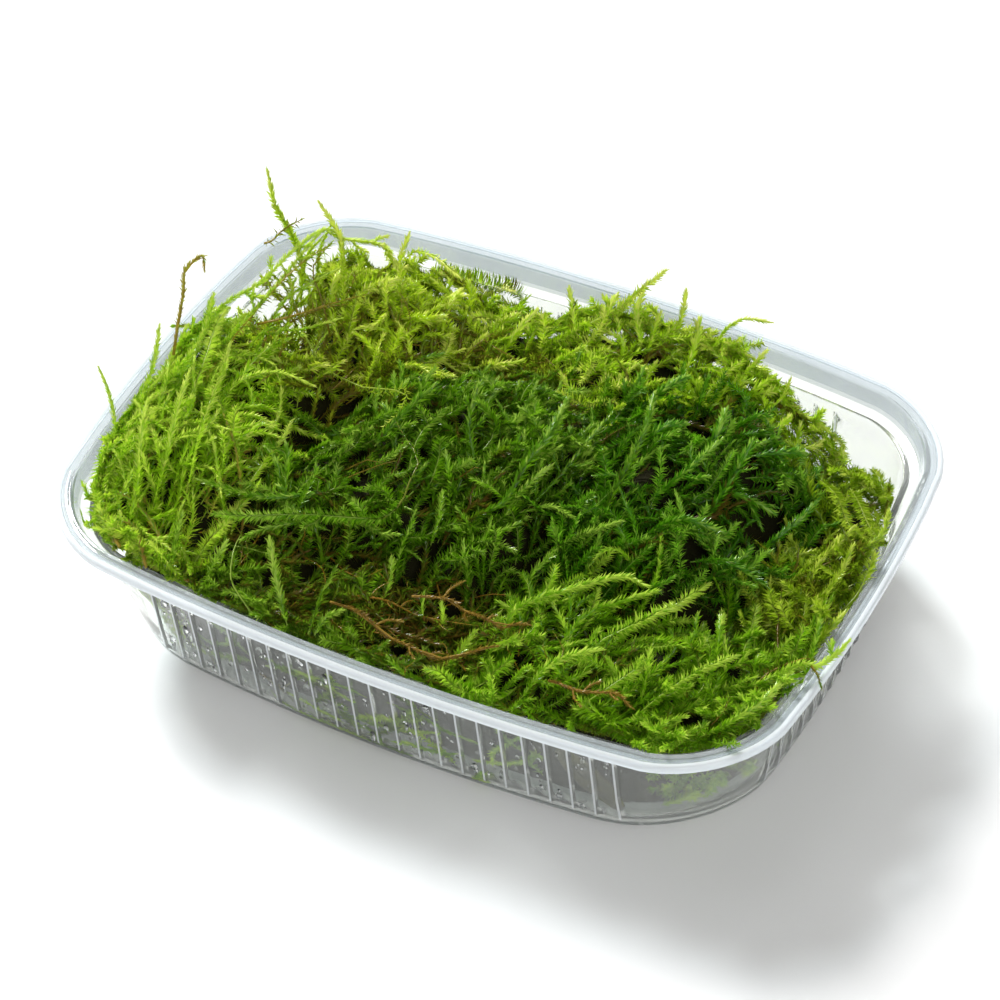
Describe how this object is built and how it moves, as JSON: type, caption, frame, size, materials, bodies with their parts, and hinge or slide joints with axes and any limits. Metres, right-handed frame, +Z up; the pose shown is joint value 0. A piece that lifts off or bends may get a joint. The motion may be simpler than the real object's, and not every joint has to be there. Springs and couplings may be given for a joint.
{
  "type": "moss clump in a plastic tub",
  "caption": "Tangled leafy aquarium moss heaped in a shallow clear rectangular tub with a ribbed wall and a turned-down lip.",
  "frame": {"origin": "centre of the tub's flat underside", "axes": "+X along the tub's long side, +Y to the back, +Z up out of the tub"},
  "size_m": [0.1098, 0.0804, 0.0452],
  "materials": {
    "clear_polypropylene": "translucent, smooth",
    "green_moss": "leafy, wet",
    "yellow_green_moss": "leafy, wet",
    "olive_moss": "leafy, wet",
    "deep_green_moss": "leafy, wet",
    "brown_moss": "leafy, damp",
    "dead_stem": "dry, matt",
    "olive_leaf": "wet leaf"
  },
  "bodies": {
    "root": {"tub": "clear_polypropylene", "back_left_tuft": "green_moss", "left_tuft": "yellow_green_moss", "middle_tuft": "green_moss", "right_end_tuft": "olive_moss", "right_tuft": "deep_green_moss", "back_tuft": "olive_moss", "front_tuft": "yellow_green_moss", "brown_thatch": "brown_moss", "dead_stem_left": "dead_stem", "dead_stem_middle": "dead_stem", "dead_stem_right": "dead_stem", "olive_leaf_scrap": "olive_leaf"}
  },
  "joints": []
}
